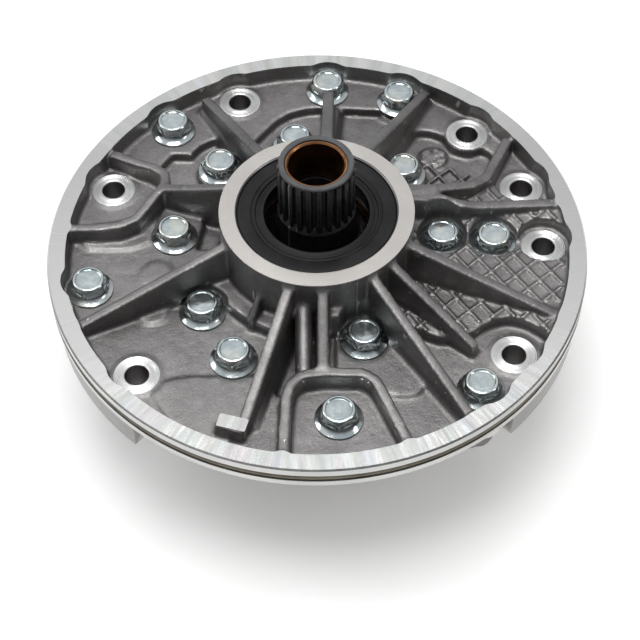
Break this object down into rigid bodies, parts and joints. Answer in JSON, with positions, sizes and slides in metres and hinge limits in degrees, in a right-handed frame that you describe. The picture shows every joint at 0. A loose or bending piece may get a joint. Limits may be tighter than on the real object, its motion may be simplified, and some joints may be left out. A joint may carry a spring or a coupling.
{
  "type": "transmission oil pump",
  "caption": "Front oil pump of an automatic transmission: round cast body with seal hub, splined support shaft, rear cover and a meshed crescent gear pair turned by the torque converter.",
  "frame": {"origin": "on the support shaft's axis, level with the shaft's rear end, which is the lowest point", "axes": "+Z along the shaft towards the torque converter, +X to the right and +Y away from the viewer as the picture shows it"},
  "size_m": [0.205, 0.205, 0.1164],
  "materials": {
    "cast_body": "as-cast, with machined faces",
    "cast_cover": "as-cast, with machined faces",
    "gear_steel": "ground",
    "black_steel": "black oxide, oiled",
    "bronze": "bored",
    "seal_rubber": "moulded, semi-matte",
    "spring_steel": "drawn wire",
    "o_ring_rubber": "moulded, oiled",
    "ring_polymer": "turned",
    "zinc_steel": "bright zinc plate"
  },
  "bodies": {
    "housing": {"pump_body": "cast_body", "pump_cover": "cast_cover", "stator_shaft": "black_steel", "front_shaft_bush": "bronze", "rear_shaft_bush": "bronze", "converter_hub_bush": "bronze", "oil_seal_case": "seal_rubber", "oil_seal_lip": "seal_rubber", "seal_garter_spring": "spring_steel", "rim_o_ring": "o_ring_rubber", "thrust_washer": "bronze", "sealing_ring_1": "ring_polymer", "sealing_ring_2": "ring_polymer", "sealing_ring_3": "ring_polymer", "dowel_pin_1": "gear_steel", "dowel_pin_2": "gear_steel", "bolt_01": "zinc_steel", "bolt_02": "zinc_steel", "bolt_03": "zinc_steel", "bolt_04": "zinc_steel", "bolt_05": "zinc_steel", "bolt_06": "zinc_steel", "bolt_07": "zinc_steel", "bolt_08": "zinc_steel", "bolt_09": "zinc_steel", "bolt_10": "zinc_steel", "bolt_11": "zinc_steel", "bolt_12": "zinc_steel", "bolt_13": "zinc_steel", "bolt_14": "zinc_steel", "bolt_15": "zinc_steel"},
    "drive_rotor": {"drive_gear": "gear_steel"},
    "driven_rotor": {"driven_gear": "gear_steel"}
  },
  "joints": [
    {"name": "driven_spin", "type": "hinge", "parent": "housing", "child": "driven_rotor", "pos_m": [-0.0035, 0.0053, 0.0522], "axis": [0, 0, 1], "continuous": true},
    {"name": "drive_spin", "type": "hinge", "parent": "housing", "child": "drive_rotor", "pos_m": [0, 0, 0.0522], "axis": [0, 0, 1], "continuous": true}
  ],
  "couplings": [
    {"joint": "drive_spin", "follows": "driven_spin", "ratio": 1.2083}
  ]
}
